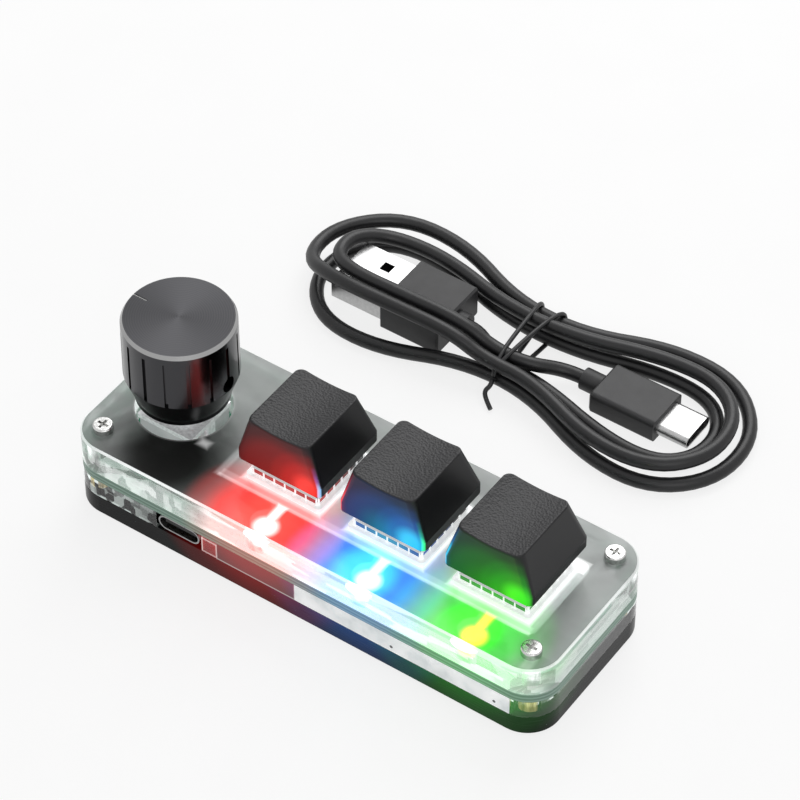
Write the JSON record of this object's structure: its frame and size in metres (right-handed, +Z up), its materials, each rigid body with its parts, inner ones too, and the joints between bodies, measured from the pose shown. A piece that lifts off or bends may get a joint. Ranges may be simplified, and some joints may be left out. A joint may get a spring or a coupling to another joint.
{
  "type": "macro keypad",
  "caption": "Small desk keypad in stacked clear acrylic: mechanical keys with colour lamps in a row, a push-and-turn knob, a USB-C port and a loose lead.",
  "frame": {"origin": "on the desk, under the middle of the case", "axes": "+X along the case from the knob to the last key, -Y the front with the port, +Z up"},
  "size_m": [0.1018, 0.0938, 0.0391],
  "materials": {
    "clear_acrylic": "clear cast acrylic, polished edges, frosted top",
    "smoked_acrylic": "dark smoked acrylic",
    "opal_acrylic": "opal diffuser",
    "feet_rubber": "matt rubber pads",
    "board_green": "green solder mask on glass laminate",
    "pillar_brass": "turned brass",
    "screw_steel": "bright nickel plate",
    "keycap_black": "moulded black with a grained top",
    "switch_white": "milky nylon",
    "switch_cover": "milky cover",
    "switch_stem": "moulded slider",
    "spring_steel": "spring steel",
    "tinned_legs": "tinned copper",
    "lamp_red": "lit red",
    "lamp_blue": "lit blue",
    "lamp_green": "lit green",
    "encoder_metal": "zinc-plated steel",
    "encoder_plastic": "moulded nylon",
    "knob_anodised": "black anodised, bright-cut rim",
    "port_steel": "nickel-plated pressing",
    "port_plastic": "black insulator",
    "gilt_contacts": "gilt contacts",
    "chip_epoxy": "black epoxy",
    "crystal_can": "pressed can",
    "lead_jacket": "black jacket",
    "plug_moulding": "dark grey moulding"
  },
  "bodies": {
    "case": {"base_plate": "smoked_acrylic", "base_screws": "screw_steel", "board_passives": "chip_epoxy", "case_screws": "screw_steel", "circuit_board": "board_green", "crystal": "crystal_can", "encoder_base": "encoder_plastic", "encoder_bushing": "encoder_metal", "encoder_cover": "encoder_metal", "encoder_dome": "spring_steel", "encoder_pins": "tinned_legs", "key_lamp_1": "lamp_red", "key_lamp_2": "lamp_blue", "key_lamp_3": "lamp_green", "light_strip": "opal_acrylic", "microcontroller": "chip_epoxy", "pillars": "pillar_brass", "rubber_feet": "feet_rubber", "spacer_frame": "clear_acrylic", "switch_lower_housing_1": "switch_white", "switch_lower_housing_2": "switch_white", "switch_lower_housing_3": "switch_white", "switch_pins_1": "tinned_legs", "switch_pins_2": "tinned_legs", "switch_pins_3": "tinned_legs", "switch_spring_1": "spring_steel", "switch_spring_2": "spring_steel", "switch_spring_3": "spring_steel", "switch_upper_housing_1": "switch_cover", "switch_upper_housing_2": "switch_cover", "switch_upper_housing_3": "switch_cover", "top_plate": "clear_acrylic", "usb_contacts": "gilt_contacts", "usb_shell": "port_steel", "usb_tongue": "port_plastic", "usb_lead": "lead_jacket", "lead_tie": "lead_jacket", "c_plug_body": "plug_moulding", "c_plug_shell": "port_steel", "a_plug_body": "plug_moulding", "a_plug_shell": "port_steel", "a_plug_tongue": "port_plastic"},
    "encoder_push": {"encoder_plunger": "encoder_plastic"},
    "knob": {"knob": "knob_anodised", "knob_set_screw": "screw_steel", "encoder_shaft": "encoder_metal", "encoder_rotor": "encoder_plastic"},
    "key_1": {"keycap_1": "keycap_black", "switch_stem_1": "switch_stem"},
    "key_2": {"keycap_2": "keycap_black", "switch_stem_2": "switch_stem"},
    "key_3": {"keycap_3": "keycap_black", "switch_stem_3": "switch_stem"}
  },
  "joints": [
    {"name": "key_1_press", "type": "slide", "parent": "case", "child": "key_1", "axis": [0, 0, -1], "range_m": [0, 0.004], "stiffness_N_per_m": 75, "springref_m": -0.005, "deforming": ["switch_spring_1"]},
    {"name": "key_2_press", "type": "slide", "parent": "case", "child": "key_2", "axis": [0, 0, -1], "range_m": [0, 0.004], "stiffness_N_per_m": 75, "springref_m": -0.005, "deforming": ["switch_spring_2"]},
    {"name": "key_3_press", "type": "slide", "parent": "case", "child": "key_3", "axis": [0, 0, -1], "range_m": [0, 0.004], "stiffness_N_per_m": 75, "springref_m": -0.005, "deforming": ["switch_spring_3"]},
    {"name": "knob_press", "type": "slide", "parent": "case", "child": "encoder_push", "axis": [0, 0, -1], "range_m": [0, 0.0005], "stiffness_N_per_m": 3000, "springref_m": -0.0004},
    {"name": "knob_turn", "type": "hinge", "parent": "encoder_push", "child": "knob", "pos_m": [-0.0375, 0, 0.03], "axis": [0, 0, 1], "continuous": true}
  ]
}
